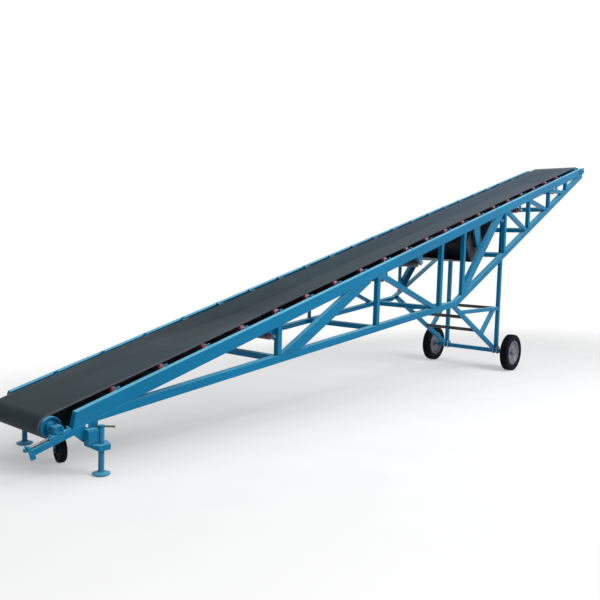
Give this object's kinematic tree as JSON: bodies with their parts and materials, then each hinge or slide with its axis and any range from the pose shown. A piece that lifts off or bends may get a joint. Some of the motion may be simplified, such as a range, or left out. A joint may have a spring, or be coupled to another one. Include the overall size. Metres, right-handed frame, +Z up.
{
  "type": "portable belt conveyor",
  "caption": "Inclined troughed-belt conveyor on an open truss boom, with road wheels on an A-leg undercarriage and a tail caster and screw jacks to park it.",
  "frame": {"origin": "on the floor, below the middle of the whole machine's box", "axes": "+X towards the raised head, +Y towards the far side, +Z up"},
  "size_m": [9.3653, 1.249, 2.9078],
  "materials": {
    "blue_paint": "glossy paint, a little faded",
    "belt_rubber": "matt, lightly dusty",
    "dark_drum": "matt black",
    "bare_steel": "turned steel",
    "roll_red": "red-brown primer",
    "cast_paint": "painted cast iron",
    "tyre": "matt",
    "rim_paint": "pale grey paint",
    "caster_rubber": "matt"
  },
  "bodies": {
    "frame": {"stringer_near": "blue_paint", "stringer_far": "blue_paint", "tail_chord_near": "blue_paint", "tail_chord_far": "blue_paint", "head_chord_near": "blue_paint", "head_chord_far": "blue_paint", "truss_posts_near": "blue_paint", "truss_posts_far": "blue_paint", "truss_braces_near": "blue_paint", "truss_braces_far": "blue_paint", "cross_members": "blue_paint", "belt_carrying_run": "belt_rubber", "belt_return_run": "belt_rubber", "tail_pulley": "bare_steel", "head_pulley": "bare_steel", "drive_drum": "dark_drum", "drive_hangers": "blue_paint", "bend_rollers": "dark_drum", "return_rolls": "roll_red", "roller_hangers": "blue_paint", "idler_bars": "blue_paint", "idler_stands": "blue_paint", "centre_rolls": "roll_red", "wing_rolls": "roll_red", "tail_plates": "blue_paint", "tail_beam": "blue_paint", "takeup_rails": "blue_paint", "takeup_screws": "bare_steel", "pulley_bearings": "cast_paint", "head_plates": "blue_paint", "leg_posts": "blue_paint", "leg_diagonals": "blue_paint", "leg_ties": "blue_paint", "leg_cross_tubes": "dark_drum", "axle": "blue_paint", "caster_pin": "bare_steel", "jack_housings": "blue_paint"},
    "wheel_near": {"tyre_near": "tyre", "rim_near": "rim_paint"},
    "wheel_far": {"tyre_far": "tyre", "rim_far": "rim_paint"},
    "caster": {"caster_fork": "blue_paint"},
    "caster_roller": {"caster_wheel": "caster_rubber"},
    "jack_near": {"jack_screw_near": "blue_paint"},
    "jack_far": {"jack_screw_far": "blue_paint"}
  },
  "joints": [
    {"name": "wheel_near_spin", "type": "hinge", "parent": "frame", "child": "wheel_near", "pos_m": [1.96534, -0.5695, 0.235], "axis": [0, 1, 0], "continuous": true},
    {"name": "wheel_far_spin", "type": "hinge", "parent": "frame", "child": "wheel_far", "pos_m": [1.96534, 0.5695, 0.235], "axis": [0, 1, 0], "continuous": true},
    {"name": "caster_swivel", "type": "hinge", "parent": "frame", "child": "caster", "pos_m": [-4.20366, 0, 0.212], "axis": [0, 0, 1], "continuous": true},
    {"name": "caster_spin", "type": "hinge", "parent": "caster", "child": "caster_roller", "pos_m": [-4.22233, -0.07779, 0.091], "axis": [0.9724, -0.2334, 0], "continuous": true},
    {"name": "jack_near_screw", "type": "slide", "parent": "frame", "child": "jack_near", "axis": [0, 0, 1], "range_m": [0, 0.13]},
    {"name": "jack_far_screw", "type": "slide", "parent": "frame", "child": "jack_far", "axis": [0, 0, 1], "range_m": [0, 0.13]}
  ]
}
